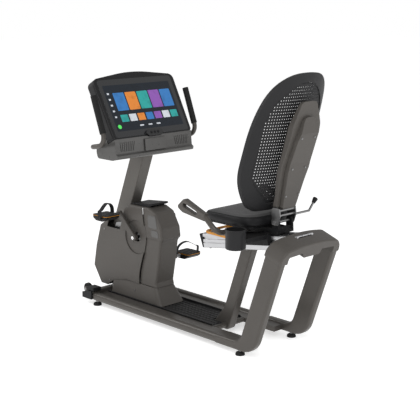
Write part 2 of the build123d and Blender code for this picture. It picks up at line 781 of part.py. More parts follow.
with BuildPart() as drive_pulley:
    with BuildSketch(side_plane(pulley_y)):
        with Locations((crank_x, crank_z)):
            Circle(pulley_radius + 3)
            Circle(crank_axle_radius, mode=Mode.SUBTRACT)
            with PolarLocations(52, 5):
                Circle(17, mode=Mode.SUBTRACT)
    extrude(amount=pulley_width / 2, both=True)
    with BuildSketch(side_plane(pulley_y)):
        with Locations((crank_x, crank_z)):
            Circle(pulley_radius + 10)
            Circle(pulley_radius, mode=Mode.SUBTRACT)
    extrude(amount=belt_width / 2 + 0.5, both=True, mode=Mode.SUBTRACT)
drive_pulley.part.label = "drive_pulley"
export_step(drive_pulley.part, "parts/drive_pulley.step")

for side, sign in (("left", 1), ("right", -1)):
    pedal_x, pedal_z = crank_point(sign)
    with BuildPart() as crank_arm:
        with BuildSketch(side_plane(sign * (arm_inner_y + arm_thickness / 2))):
            with Locations((crank_x, crank_z)):
                Circle(21)
            with Locations((pedal_x, pedal_z)):
                Circle(15)
            make_hull()
            with Locations((crank_x, crank_z)):
                Circle(crank_axle_radius, mode=Mode.SUBTRACT)
            with Locations((pedal_x, pedal_z)):
                Circle(spindle_radius + hinge_gap, mode=Mode.SUBTRACT)
        extrude(amount=arm_thickness / 2, both=True)
        outer = crank_arm.faces().sort_by(Axis.Y)[-1 if sign > 0 else 0]
        chamfer([e for e in outer.edges() if e.length > 50], 3)
        with BuildSketch(side_plane(sign * (arm_inner_y - 6))):
            with Locations((crank_x, crank_z)):
                Circle(19)
                Circle(crank_axle_radius, mode=Mode.SUBTRACT)
        extrude(amount=-sign * 6)
    share("crank_arms", crank_arm)

with BuildPart() as crank_bolts:
    for sign in (1, -1):
        with BuildSketch(side_plane(sign * arm_inner_y)):
            with Locations((crank_x, crank_z)):
                Circle(crank_axle_radius - 0.3)
        extrude(amount=-sign * (arm_thickness + 2))
        with BuildSketch(side_plane(sign * (arm_inner_y + arm_thickness + 2.6))):
            with Locations((crank_x, crank_z)):
                Circle(5)
        extrude(amount=sign * 3, mode=Mode.SUBTRACT)
share("crank_axle", crank_bolts)

# Flywheel with its small pulley and axle, and the idler that tightens the belt.
with BuildPart() as flywheel:
    with BuildSketch(side_plane(flywheel_y)):
        with Locations((flywheel_x, flywheel_z)):
            Circle(flywheel_radius)
            Circle(flywheel_axle_radius + hinge_gap, mode=Mode.SUBTRACT)
    extrude(amount=flywheel_width / 2, both=True)
    for face_sign in (-1, 1):
        with BuildSketch(side_plane(flywheel_y + face_sign * flywheel_width / 2)):
            with Locations((flywheel_x, flywheel_z)):
                Circle(flywheel_radius - 18)
                Circle(26, mode=Mode.SUBTRACT)
        extrude(amount=8, both=True, mode=Mode.SUBTRACT)
    with BuildSketch(side_plane(flywheel_y + flywheel_width / 2 - 1)):
        with Locations((flywheel_x, flywheel_z)):
            Circle(small_pulley_radius)
            Circle(flywheel_axle_radius + hinge_gap, mode=Mode.SUBTRACT)
    extrude(amount=-(pulley_y + pulley_width / 2 - flywheel_y - flywheel_width / 2 + 1))
flywheel.part.label = "flywheel"
export_step(flywheel.part, "parts/flywheel.step")

with BuildPart() as flywheel_axle:
    with BuildSketch(Plane.XZ):
        with Locations((flywheel_x, flywheel_z)):
            Circle(flywheel_axle_radius)
    extrude(amount=plate_y[1] + 8, both=True)
share("drive_bearings", flywheel_axle)

# Belt: a loop round both pulleys, kept just clear of them.
with BuildPart() as drive_belt:
    for grow, belt_mode in ((belt_gap + belt_thickness, Mode.ADD), (belt_gap, Mode.SUBTRACT)):
        with BuildSketch(side_plane(pulley_y)):
            with Locations((crank_x, crank_z)):
                Circle(pulley_radius + grow)
            with Locations((flywheel_x, flywheel_z)):
                Circle(small_pulley_radius + grow)
            make_hull()
        extrude(amount=belt_width / 2, both=True, mode=belt_mode)
drive_belt.part.label = "drive_belt"
export_step(drive_belt.part, "parts/drive_belt.step")

# Pedals: boat-shaped bodies with a coloured rim band and an adjustable strap.
for side, sign in (("left", 1), ("right", -1)):
    pedal_x, pedal_z = crank_point(sign)
    with BuildPart() as pedal:
        with BuildSketch(side_plane(sign * pedal_y)):
            with BuildLine():
                FilletPolyline((pedal_x - pedal_length / 2, pedal_z + 13),
                               (pedal_x + pedal_length / 2, pedal_z + 11),
                               (pedal_x + pedal_length / 2 - 6, pedal_z - 4),
                               (pedal_x + 24, pedal_z - 21), (pedal_x - 30, pedal_z - 21),
                               (pedal_x - pedal_length / 2 + 4, pedal_z - 2),
                               close=True, radius=5)
            make_face()
        extrude(amount=pedal_width / 2, both=True)
        with BuildSketch(Plane.XY.offset(pedal_z - 30)):
            with Locations((pedal_x, sign * pedal_y)):
                RectangleRounded(pedal_length, pedal_width, 20)
        extrude(amount=60, mode=Mode.INTERSECT)
        with BuildSketch(side_plane(sign * pedal_y)):
            with Locations((pedal_x, pedal_z)):
                Circle(spindle_radius + hinge_gap)
        extrude(amount=pedal_width, both=True, mode=Mode.SUBTRACT)
        with Locations((pedal_x, sign * pedal_y, pedal_z + 13)):
            with GridLocations(0, 24, 1, 4):
                Box(pedal_length - 28, 9, 6, mode=Mode.SUBTRACT)
    pedal.part.label = f"pedal_{side}"
    export_step(pedal.part, f"parts/pedal_{side}.step")

    # Spindle from the arm to the pedal's outer end.
    with BuildPart() as pedal_spindle:
        with BuildSketch(side_plane(sign * (arm_inner_y + 1))):
            with Locations((pedal_x, pedal_z)):
                Circle(spindle_radius)
        extrude(amount=-sign * (pedal_y + pedal_width / 2 - 12 - arm_inner_y - 1))
        with BuildSketch(side_plane(sign * (arm_inner_y + arm_thickness + 0.4))):
            with Locations((pedal_x, pedal_z)):
                Circle(9)
        extrude(amount=-sign * (pedal_y - pedal_width / 2 - arm_inner_y - arm_thickness - 6))
    share("pedal_spindles", pedal_spindle)

    # Strap: a band arched over the foot, its outer end nearer the heel.
    strap_plane = Plane(origin=(pedal_x, sign * pedal_y, pedal_z + 4),
                        x_dir=(-sin(radians(strap_skew)), sign * cos(radians(strap_skew)), 0),
                        z_dir=(sign * cos(radians(strap_skew)), sin(radians(strap_skew)), 0))
    with BuildPart() as pedal_strap:
        with BuildSketch(strap_plane):
            with BuildLine():
                for inset in (0, strap_thickness):
                    half = pedal_width / 2 + strap_reach - inset
                    top = strap_height - inset
                    Spline((-half, 0), (-half * 0.93, top * 0.55), (0, top), (half * 0.93, top * 0.55),
                           (half, 0), tangents=((-0.1, 1), (-0.1, -1)))
                Line((half, 0), (half + strap_thickness, 0))
                Line((-half, 0), (-half - strap_thickness, 0))
            make_face()
        extrude(amount=strap_width / 2, both=True)
        for end in (-1, 1):
            tab_y = pedal_width / 2 + strap_reach / 2 - 0.5
            tab_x = -end * sin(radians(strap_skew)) * (pedal_width / 2 + strap_reach)
            with Locations((pedal_x + tab_x, sign * (pedal_y + end * tab_y), pedal_z - 1)):
                Box(16, strap_reach - 1, 12)
    pedal_strap.part.label = f"pedal_strap_{side}"
    export_step(pedal_strap.part, f"parts/pedal_strap_{side}.step")

# Mast: leaning, slightly tapered box from the drive frame up to the console.
with BuildPart() as mast:
    with BuildSketch(Plane.XZ):
        with BuildLine():
            mast_outline(0)
        make_face()
    extrude(amount=mast_width / 2, both=True)
    fillet([e for e in mast.faces().filter_by(Axis.Y).edges() if e.length > 50], 5)
mast.part.label = "mast"
export_step(mast.part, "parts/mast.step")

# Reading tray at the mast's foot, on the rider's side: dark deck with a bright lip.
with BuildPart() as tray_deck:
    with BuildSketch(Plane.XZ):
        with BuildLine():
            FilletPolyline((306, 622), (468, 606), (480, 601.5), (430, 601.5), (330, 602), (300, 614),
                           close=True, radius=2)
        make_face()
    extrude(amount=62, both=True)
tray_deck.part.label = "tray_deck"
export_step(tray_deck.part, "parts/tray_deck.step")

# Console. Its own plane: X to the rider's right, Y up the glass, Z toward the rider.
tilt = radians(glass_tilt)
console_plane = Plane(origin=(glass_x, 0, glass_z), x_dir=(0, -1, 0),
                      z_dir=(-cos(tilt), 0, sin(tilt)))
half_glass = glass_height / 2
half_housing = housing_width / 2
pod_v = 4 - half_glass            # keypad's height on the glass plane
with BuildPart() as console_housing:
    with BuildSketch(console_plane.offset(-glass_thickness - fit_gap)):
        with BuildLine():
            FilletPolyline((-half_housing + 8, -half_glass - 8), (-half_housing, half_glass + 8),
                           (0, half_glass + 46), (half_housing, half_glass + 8),
                           (half_housing - 8, -half_glass - 8), close=True,
                           radius=[16, 34, 900, 34, 16])
        make_face()
    extrude(amount=-housing_depth)
    fillet(console_housing.faces().sort_by(Axis.X)[-1].edges(), 12)
    with BuildSketch(console_plane.offset(-glass_thickness - fit_gap)):
        with BuildLine():
            FilletPolyline((-half_housing + 8, -half_glass - 8), (-half_housing, half_glass + 8),
                           (0, half_glass + 46), (half_housing, half_glass + 8),
                           (half_housing - 8, -half_glass - 8), close=True,
                           radius=[16, 34, 900, 34, 16])
        make_face()
        RectangleRounded(glass_width + 2 * fit_gap, glass_height + 2 * fit_gap, 14, mode=Mode.SUBTRACT)
    extrude(amount=glass_thickness + fit_gap)
    with BuildSketch(console_plane.offset(-glass_thickness - fit_gap)):
        RectangleRounded(glass_width - 30, glass_height - 50, 10)
    extrude(amount=-44, mode=Mode.SUBTRACT)
    with BuildSketch(Plane.XZ):
        with BuildLine():
            mast_outline(fit_gap)
        make_face()
    extrude(amount=mast_width / 2 + fit_gap, both=True, mode=Mode.SUBTRACT)
console_housing.part.label = "console_housing"
export_step(console_housing.part, "parts/console_housing.step")

with BuildPart() as console_glass:
    with BuildSketch(console_plane.offset(-glass_thickness)):
        RectangleRounded(glass_width, glass_height, 14)
    extrude(amount=glass_thickness)
console_glass.part.label = "console_glass"
export_step(console_glass.part, "parts/console_glass.step")

# Display module behind the glass.
with BuildPart() as display_module:
    with BuildSketch(console_plane.offset(-glass_thickness - 4)):
        RectangleRounded(glass_width - 36, glass_height - 56, 8)
    extrude(amount=-22)
share("display_module", display_module)

# Console handlebars: a bent bar each side, coming from behind the bay, with its grip.
bar_path = [(488, 110, 938), (500, handlebar_y, 945), (352, handlebar_y, 972),
            (446, handlebar_y, 1221)]
bar_solids = []
for side, sign in (("left", 1), ("right", -1)):
    points = [(x, sign * y, z) for x, y, z in bar_path]
    with BuildPart() as console_bar:
        with BuildLine() as bar_line:
            FilletPolyline(*points, radius=[55, 50])
        start = Plane(origin=bar_line.line @ 0, z_dir=bar_line.line % 0)
        with BuildSketch(start):
            Circle(bar_tube_radius)
        sweep()
    share("console_bars", console_bar)
    bar_solids.append(console_bar.part)

    with BuildPart() as console_grip:
        rise = Vector(*points[3]) - Vector(*points[2])
        along = rise.normalized()
        begin = Vector(*points[2]) + along * 62
        with BuildSketch(Plane(origin=begin, z_dir=along)):
            Circle(grip_radius)
            Circle(bar_tube_radius, mode=Mode.SUBTRACT)
        extrude(amount=rise.length - 62 + 4)
        with BuildSketch(Plane(origin=begin + along * (rise.length - 62), z_dir=along)):
            Circle(grip_radius)
        extrude(amount=5)
    share("console_grips", console_grip)

# Lower bay: speakers either side of a shelf, under the glass.
bay_top_x = glass_x - (half_glass + 9) * sin(tilt)
bay_top_z = glass_z - (half_glass + 9) * cos(tilt)
bay_half = half_housing - 10
with BuildPart() as speaker_bay:
    with BuildSketch(Plane.XZ):
        with BuildLine():
            FilletPolyline((bay_top_x, bay_top_z), (bay_top_x - 2, bay_top_z - 36),
                           (bay_top_x - 6, bay_top_z - 80), (bay_top_x - 20, bay_top_z - 88),
                           (bay_top_x - 18, bay_top_z - 106), (bay_top_x + 24, bay_top_z - 116),
                           (bay_top_x + 150, bay_top_z - 116), (bay_top_x + 164, bay_top_z - 70),
                           (bay_top_x + 62, bay_top_z + 32), close=True,
                           radius=[1, 6, 8, 4, 8, 20, 20, 30, 2])
        make_face()
    extrude(amount=bay_half, both=True)
    with BuildSketch(Plane.XZ):
        with BuildLine():
            mast_outline(fit_gap)
        make_face()
    extrude(amount=mast_width / 2 + fit_gap, both=True, mode=Mode.SUBTRACT)
    for solid in bar_solids:
        add(solid, mode=Mode.SUBTRACT)
    with BuildSketch(console_plane):
        with Locations((0, 100 - half_glass - 8)):
            Rectangle(housing_width + 40, 200)
    extrude(amount=-(housing_depth + glass_thickness + fit_gap), mode=Mode.SUBTRACT)
    for sign in (1, -1):
        with Locations((bay_top_x + 75, sign * 190, bay_top_z - 62)):
            Box(70, 110, 70, mode=Mode.SUBTRACT)
        for slot in range(8):
            slot_y = sign * (150 + slot * 13)
            with Locations(Location((bay_top_x - 1, slot_y, bay_top_z - 44), (sign * (14 - 3 * slot), 0, 0))):
                Box(12, 4, 52, mode=Mode.SUBTRACT)
share("speaker_bay", speaker_bay)

# Shelf door in the middle of the bay.
with BuildPart() as shelf_door:
    with BuildSketch(Plane.XZ):
        with BuildLine():
            Polyline((bay_top_x - 2.5, bay_top_z - 14), (bay_top_x - 8.5, bay_top_z - 14),
                     (bay_top_x - 14, bay_top_z - 79), (bay_top_x - 6.8, bay_top_z - 79), close=True)
        make_face()
    extrude(amount=74, both=True)
share("speaker_bay", shelf_door)

# Keypad pod on the glass's lower edge, with its keys.
with BuildPart() as keypad_pod:
    with BuildSketch(console_plane.offset(0.2)):
        with BuildLine():
            FilletPolyline((-62, pod_v), (-44, pod_v + 19), (44, pod_v + 19), (62, pod_v),
                           (44, pod_v - 19), (-44, pod_v - 19), close=True, radius=9)
        make_face()
    extrude(amount=13)
    with BuildSketch(console_plane.offset(0.2)):
        with Locations((0, pod_v)):
            with GridLocations(key_pitch, 0, key_count, 1):
                Circle(7.2 + fit_gap)
    extrude(amount=20, mode=Mode.SUBTRACT)
keypad_pod.part.label = "keypad_pod"
export_step(keypad_pod.part, "parts/keypad_pod.step")

for key in range(key_count):
    with BuildPart() as keypad_key:
        with BuildSketch(console_plane.offset(0.2 + key_travel + fit_gap)):
            with Locations((key_pitch * (key - (key_count - 1) / 2), pod_v)):
                Circle(7.2)
        extrude(amount=13 - fit_gap)
    keypad_key.part.label = f"keypad_key_{key + 1}"
    export_step(keypad_key.part, f"parts/keypad_key_{key + 1}.step")


# Speakers inside the bay.
with BuildPart() as speakers:
    for sign in (1, -1):
        with BuildSketch(Plane.YZ.offset(bay_top_x + 42)):
            with Locations((sign * 190, bay_top_z - 62)):
                Circle(32)
        extrude(amount=30)
share("display_module", speakers)

# Carriage: a saddle on the rail with a pedestal, ears for the backrest and an ear for the lever.
carriage_mid_x = (carriage_rear_x + carriage_front_x) / 2
carriage_length = (carriage_front_x - carriage_rear_x) / cos(slope)
carriage_plane = Plane(origin=(carriage_mid_x, 0, rail_top_z(carriage_mid_x)),
                       x_dir=(cos(slope), 0, -sin(slope)), z_dir=(sin(slope), 0, cos(slope)))
carriage_inner = seat_rail_width / 2 + 2
roof = 10.0
skirt = 46.0
pedestal_half = 56.0
pedestal_rear_x = carriage_rear_x - 44
ear_inner, ear_outer = 44.0, 54.0
lever_ear_y = -(carriage_half_width - 6)
with BuildPart() as carriage:
    with BuildSketch(Plane(origin=carriage_plane.origin, x_dir=(0, 1, 0),
                           z_dir=carriage_plane.x_dir)) as saddle:
        with Locations((0, (carriage_gap + roof - skirt) / 2)):
            Rectangle(2 * carriage_half_width, carriage_gap + roof + skirt)
        with Locations((0, (carriage_gap - skirt) / 2 - 5)):
            Rectangle(2 * carriage_inner, carriage_gap + skirt + 10, mode=Mode.SUBTRACT)
        fillet([v for v in saddle.vertices() if abs(v.X) > carriage_half_width - 1
                and v.Y > 0], 6)
    extrude(amount=carriage_length / 2, both=True)
    with BuildSketch(Plane.XZ):
        with BuildLine():
            Polyline((pedestal_rear_x, rail_top_z(pedestal_rear_x) + carriage_gap + 2),
                     (carriage_front_x - 12, rail_top_z(carriage_front_x) + carriage_gap + 4),
                     (carriage_front_x - 12, seat_base_z), (pedestal_rear_x + 46, seat_base_z),
                     (pedestal_rear_x, seat_base_z + 10), close=True)
        make_face()
    extrude(amount=pedestal_half - 2, both=True)
    for sign in (1, -1):
        with BuildSketch(side_plane(sign * (ear_inner + ear_outer) / 2)):
            with BuildLine():
                Polyline((back_pivot_x - 20, seat_base_z - 6), (back_pivot_x - 20, back_pivot_z),
                         (back_pivot_x + 20, back_pivot_z), (back_pivot_x + 20, seat_base_z - 6),
                         close=True)
            make_face()
            with Locations((back_pivot_x, back_pivot_z)):
                Circle(20)
                Circle(back_pivot_radius, mode=Mode.SUBTRACT)
        extrude(amount=(ear_outer - ear_inner) / 2, both=True)
        with BuildSketch(side_plane(sign * 70)):
            with Locations((bail_pivot_x, bail_pivot_z)):
                Circle(5 + hinge_gap)
        extrude(amount=-sign * 20, mode=Mode.SUBTRACT)
    with BuildSketch(side_plane(lever_ear_y)):
        with BuildLine():
            Polyline((lever_x - 16, rail_top_z(lever_x) + 4), (lever_x - 12, lever_z),
                     (lever_x + 12, lever_z), (lever_x + 22, rail_top_z(lever_x) + 4), close=True)
        make_face()
        with Locations((lever_x, lever_z)):
            Circle(12)
            Circle(lever_shaft_radius + hinge_gap, mode=Mode.SUBTRACT)
    extrude(amount=4, both=True)
    with BuildSketch(Plane.XZ):
        with Locations((arm_root_x, arm_root_z)):
            Circle(arm_tube_radius + fit_gap)
    extrude(amount=100, both=True, mode=Mode.SUBTRACT)
share("carriage", carriage)

# Glide pads between carriage and rail.
with BuildPart() as glide_pads:
    with BuildSketch(carriage_plane.offset(fit_gap)):
        with GridLocations(carriage_length - 50, 84, 2, 2):
            Rectangle(40, 16)
    extrude(amount=carriage_gap - fit_gap)
    for sign in (1, -1):
        pad_plane = Plane(origin=carriage_plane.origin + Vector(0, sign * (carriage_inner - 1.7), 0),
                          x_dir=carriage_plane.x_dir, z_dir=(0, sign, 0))
        with BuildSketch(pad_plane):
            with GridLocations(carriage_length - 60, 1, 2, 1):
                with Locations((0, sign * 9)):
                    Rectangle(40, 10)
        extrude(amount=1.7)
share("carriage", glide_pads)

# Seat plate and cushion.
seat_rear_x = cushion_front_x - cushion_length
with BuildPart() as seat_plate:
    with BuildSketch(Plane.XY.offset(seat_base_z)):
        with Locations(((seat_rear_x + cushion_front_x) / 2 + 4, 0)):
            RectangleRounded(cushion_length - 60, cushion_width - 80, 40)
    extrude(amount=cushion_bottom - seat_base_z - fit_gap)
share("seat_plate", seat_plate)

with BuildPart() as seat_cushion:
    with BuildSketch(Plane.XY.offset(cushion_bottom)) as cushion_outline:
        with BuildLine():
            FilletPolyline((seat_rear_x, -cushion_width / 2 + 34), (seat_rear_x, cushion_width / 2 - 34),
                           (seat_rear_x + 150, cushion_width / 2), (cushion_front_x - 40, cushion_width / 2),
                           (cushion_front_x, cushion_width / 2 - 60), (cushion_front_x, -cushion_width / 2 + 60),
                           (cushion_front_x - 40, -cushion_width / 2), (seat_rear_x + 150, -cushion_width / 2),
                           close=True, radius=38)
        make_face()
    extrude(amount=cushion_height)
    fillet(seat_cushion.faces().sort_by(Axis.Z)[-1].edges(), 20)
seat_cushion.part.label = "seat_cushion"
export_step(seat_cushion.part, "parts/seat_cushion.step")

# Seat arms: a bar through the pedestal that rises forward to a looped grip on each side.
with BuildPart() as seat_arm_bar:
    with BuildLine() as arm_line:
        FilletPolyline((arm_grip_x, arm_y, arm_grip_z), (arm_root_x - 6, arm_y, arm_root_z + 10),
                       (arm_root_x, 120, arm_root_z), (arm_root_x, -120, arm_root_z),
                       (arm_root_x - 6, -arm_y, arm_root_z + 10), (arm_grip_x, -arm_y, arm_grip_z),
                       radius=[42, 60, 60, 42])
    with BuildSketch(Plane(origin=arm_line.line @ 0, z_dir=arm_line.line % 0)):
        Circle(arm_tube_radius)
    sweep()
seat_arm_bar.part.label = "seat_arm_bar"
export_step(seat_arm_bar.part, "parts/seat_arm_bar.step")

for side, sign in (("left", 1), ("right", -1)):
    with BuildPart() as seat_grip:
        with BuildSketch(side_plane(sign * arm_y)):
            with BuildLine():
                FilletPolyline((arm_grip_x - 8, arm_grip_z - 20), (arm_grip_x + 150, arm_grip_z + 2),
                               (arm_grip_x + 194, arm_grip_z + 26), (arm_grip_x + 140, arm_grip_z + 74),
                               (arm_grip_x + 104, arm_grip_z + 60), (arm_grip_x - 8, arm_grip_z + 16),
                               close=True, radius=[6, 20, 14, 18, 20, 6])
            make_face()
            with Locations(Location((arm_grip_x + 98, arm_grip_z + 27, 0), (0, 0, 18))):
                SlotCenterToCenter(84, 19, mode=Mode.SUBTRACT)
        extrude(amount=grip_thickness / 2, both=True)
        fillet([e for e in seat_grip.faces().filter_by(Axis.Y).edges()], 5)
        add(seat_arm_bar.part, mode=Mode.SUBTRACT)
    share("seat_grips", seat_grip)

# Cup holder on the rider's left, on a bracket bolted to the carriage's side.
with BuildPart() as cup_holder:
    with Locations((cup_x, cup_y, cup_bottom)):
        Cylinder(cup_radius, cup_height, align=(Align.CENTER, Align.CENTER, Align.MIN))
    fillet(cup_holder.edges().group_by(Axis.Z)[0], 8)
    with Locations((cup_x, cup_y, cup_bottom + cup_wall + 1)):
        Cylinder(cup_radius - cup_wall, cup_height, align=(Align.CENTER, Align.CENTER, Align.MIN),
                 mode=Mode.SUBTRACT)
share("cup_holder", cup_holder)

with BuildPart() as cup_ring:
    with Locations((cup_x, cup_y, cup_bottom + cup_height)):
        Cylinder(cup_radius + 3, 6, align=(Align.CENTER, Align.CENTER, Align.MIN))
        Cylinder(cup_radius - 4, 6, align=(Align.CENTER, Align.CENTER, Align.MIN), mode=Mode.SUBTRACT)
share("cup_holder", cup_ring)

bracket_z = cup_bottom + 26
with BuildPart() as cup_bracket:
    with BuildSketch(Plane.XY.offset(bracket_z)):
        with BuildLine():
            Polyline((carriage_rear_x + 6, carriage_half_width), (cup_x - 34, cup_y - 30),
                     (cup_x + 34, cup_y - 30), (cup_x + 56, carriage_half_width), close=True)
        make_face()
        with Locations((cup_x, cup_y)):
            Circle(cup_radius + 0.2, mode=Mode.SUBTRACT)
    extrude(amount=22)
share("seat_plate", cup_bracket)

# Release bail: a round bar under the seat's front, hinged on the carriage's sides.
with BuildPart() as release_bail:
    with BuildLine() as bail_line:
        FilletPolyline((bail_pivot_x - 8, bail_half_width, bail_pivot_z),
                       (bail_front_x, bail_half_width, bail_front_z),
                       (bail_front_x, -bail_half_width, bail_front_z),
                       (bail_pivot_x - 8, -bail_half_width, bail_pivot_z), radius=34)
    with BuildSketch(Plane(origin=bail_line.line @ 0, z_dir=bail_line.line % 0)):
        Circle(bail_radius)
    sweep()
    for sign in (1, -1):
        with BuildSketch(side_plane(sign * (carriage_half_width - 10))):
            with Locations((bail_pivot_x, bail_pivot_z)):
                Circle(5)
        extrude(amount=-sign * (bail_half_width - carriage_half_width + 10))
release_bail.part.label = "release_bail"
export_step(release_bail.part, "parts/release_bail.step")

# Recline lever: a shaft through the carriage's ear, a cranked stem and a knob.
lever_out = [(lever_x, -lever_outer_y + 20, lever_z), (lever_x, -lever_outer_y, lever_z),
             (lever_x + 4, -lever_outer_y - 50, lever_z + 50)]
with BuildPart() as recline_lever:
    with BuildSketch(side_plane(lever_ear_y + 10)):
        with Locations((lever_x, lever_z)):
            Circle(lever_shaft_radius)
    extrude(amount=lever_outer_y + lever_ear_y + 10)
    stem = Vector(*lever_out[2]) - Vector(*lever_out[1])
    with BuildSketch(Plane(origin=lever_out[1], z_dir=stem)):
        Circle(lever_shaft_radius)
    extrude(amount=stem.length)
    with Locations(lever_out[1]):
        Sphere(lever_shaft_radius)
recline_lever.part.label = "recline_lever"
export_step(recline_lever.part, "parts/recline_lever.step")

with BuildPart() as lever_knob:
    with BuildSketch(Plane(origin=Vector(*lever_out[2]) - stem.normalized() * 22, z_dir=stem)) as knob_base:
        Circle(9)
    with BuildSketch(Plane(origin=Vector(*lever_out[2]) + stem.normalized() * 8, z_dir=stem)):
        Circle(14)
    loft()
    fillet(lever_knob.edges().filter_by(GeomType.CIRCLE), 4)
    add(recline_lever.part, mode=Mode.SUBTRACT)
lever_knob.part.label = "lever_knob"
export_step(lever_knob.part, "parts/lever_knob.step")

# Backrest. The shell follows a curved line in the side view and an arc from side to side.
back_line = [(-520, 712), (-566, 770), (-604, 860), (-654, 1030), (-707, 1220), (-752, 1400)]
back_side = [(0.48, back_bottom_z), (0.82, 792), (0.99, 900), (1.0, 1000), (0.98, 1110),
             (0.9, 1236), (0.7, 1338), (0.36, 1388)]


def back_outline(inset):
    """Front view of the backrest, shrunk by an inset, drawn into the open line."""
    right = [(share * back_half_width - inset, z + inset * (0.9 if z < 800 else 0)
              - inset * (0.9 if z > 1300 else 0)) for share, z in back_side]
    left = [(-y, z) for y, z in reversed(right)]
    Spline(*right, (0, back_top_z - inset), *left)
    Line(left[-1], right[0])


def back_band(thickness, ahead):
    """Curved sheet through the whole backrest, moved ahead of its middle surface."""
    with BuildPart() as band:
        with BuildLine() as path:
            Spline(*[(x, 0, z) for x, z in back_line])
        begin = Plane(origin=path.line @ 0, x_dir=(0, 1, 0), z_dir=path.line % 0)
        front = 1 if begin.y_dir.X > 0 else -1
        with BuildSketch(begin):
            with Locations((0, front * (back_radius + ahead))):
                Circle(back_radius + thickness / 2)
                Circle(back_radius - thickness / 2, mode=Mode.SUBTRACT)
            with Locations((0, front * (ahead + 40))):
                Rectangle(520, 150, mode=Mode.INTERSECT)
        sweep(path=path.line)
    return band.part


with BuildPart() as back_shell:
    add(back_band(back_thickness, 0))
    with BuildSketch(Plane.YZ):
        with BuildLine():
            back_outline(0)
        make_face()
    extrude(amount=-1000, mode=Mode.INTERSECT)
    with BuildSketch(Plane.YZ):
        with BuildLine():
            back_outline(46)
        make_face()
    extrude(amount=-1000, mode=Mode.SUBTRACT)
back_shell.part.label = "back_shell"
export_step(back_shell.part, "parts/back_shell.step")

with BuildPart() as back_mesh:
    add(back_band(5, 0))
    with BuildSketch(Plane.YZ):
        with BuildLine():
            back_outline(46.3)
        make_face()
    extrude(amount=-1000, mode=Mode.INTERSECT)
back_mesh.part.label = "back_mesh"
export_step(back_mesh.part, "parts/back_mesh.step")

# Rear cover: a broad base with a raised middle, over the steel spine.
cover_pieces = (
    ("back_cover", 104, 744, 1264,
     [(-596, 742), (-620, 800), (-636, 870), (-684, 1030), (-734, 1215), (-748, 1264), (-762, 1264),
      (-752, 1190), (-738, 1110), (-684, 962), (-622, 742)], 12),
    ("back_panel", 70, 737, 1192,
     [(-622.5, 736), (-684.5, 962), (-738.5, 1110), (-752.5, 1190), (-768, 1192), (-764, 1113),
      (-707, 965), (-642, 736)], 9),
)
for label, half, low, high, profile, rounding in cover_pieces:
    with BuildPart() as rear_cover:
        with BuildSketch(Plane.XZ):
            with BuildLine():
                Polyline(*profile, close=True)
            make_face()
        extrude(amount=half, both=True)
        with BuildSketch(Plane.YZ):
            with BuildLine():
                FilletPolyline((-half * 0.66, low), (-half, low + 190), (-half * 0.94, high - 110),
                               (-half * 0.5, high), (half * 0.5, high), (half * 0.94, high - 110),
                               (half, low + 190), (half * 0.66, low), close=True,
                               radius=[14, 60, 60, 30, 30, 60, 60, 14])
            make_face()
        extrude(amount=-1000, mode=Mode.INTERSECT)
        if label == "back_cover":
            add(back_band(back_thickness + 1, 0), mode=Mode.SUBTRACT)
            with BuildSketch(Plane.XZ):
                with BuildLine():
                    Polyline((-580, 690), (-596, 690), (-720, 1170), (-706, 1170), close=True)
                make_face()
            extrude(amount=31, both=True, mode=Mode.SUBTRACT)
    rear_cover.part.label = label
    export_step(rear_cover.part, f"parts/{label}.step")

with BuildPart() as back_screws:
    for along in (0.1, 0.46, 0.86):
        for sign in (1, -1):
            screw_z = 765 + along * 380
            screw_x = -642 - (screw_z - 736) * 0.2838 if screw_z < 965 else -707 - (screw_z - 965) * 0.385
            with Locations(Location((screw_x - 1, sign * 46, screw_z), (0, -90 - back_lean, 0))):
                Cylinder(5, 4)
    add(rear_cover.part, mode=Mode.SUBTRACT)
share("back_bracket", back_screws)

# Spine and hinge bracket: two cheeks outside the carriage's ears, and the bar up the back.
cheek_inner = ear_outer + 1.0
with BuildPart() as back_bracket:
    for sign in (1, -1):
        with BuildSketch(side_plane(sign * (cheek_inner + 3))):
            with BuildLine():
                FilletPolyline((back_pivot_x - 18, back_pivot_z - 14), (back_pivot_x + 20, back_pivot_z - 14),
                               (back_pivot_x + 24, 730), (-594, 741), (-634, 741),
                               (back_pivot_x - 34, 700), close=True, radius=7)
            make_face()
            with Locations((back_pivot_x, back_pivot_z)):
                Circle(back_pivot_radius + hinge_gap, mode=Mode.SUBTRACT)
        extrude(amount=3, both=True)
    for low in (704, 728):
        with Locations((back_pivot_x - 6, 0, low)):
            Box(38, 2 * cheek_inner + 2, 8)
share("back_bracket", back_bracket)

with BuildPart() as back_spine:
    with BuildSketch(Plane.XZ):
        with BuildLine():
            Polyline((-585, 732.5), (-595, 732.5), (-716, 1160), (-706, 1160), close=True)
        make_face()
    extrude(amount=28, both=True)
share("back_bracket", back_spine)

with BuildPart() as back_pivot:
    with BuildSketch(Plane.XZ):
        with Locations((back_pivot_x, back_pivot_z)):
            Circle(back_pivot_radius)
    extrude(amount=cheek_inner + 8, both=True)
    for sign in (1, -1):
        with BuildSketch(side_plane(sign * (cheek_inner + 6.5))):
            with Locations((back_pivot_x, back_pivot_z)):
                RegularPolygon(12, 6)
        extrude(amount=-sign * 6)
back_pivot.part.label = "back_pivot"
export_step(back_pivot.part, "parts/back_pivot.step")

# Nodes that hold several pieces of one kind, each piece its own solid.
for label, solids in shared_nodes.items():
    node = Compound(solids)
    node.label = label
    export_step(node, f"parts/{label}.step")
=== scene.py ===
import json
import math
import bpy
import numpy as np
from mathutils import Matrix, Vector
from mathutils.bvhtree import BVHTree


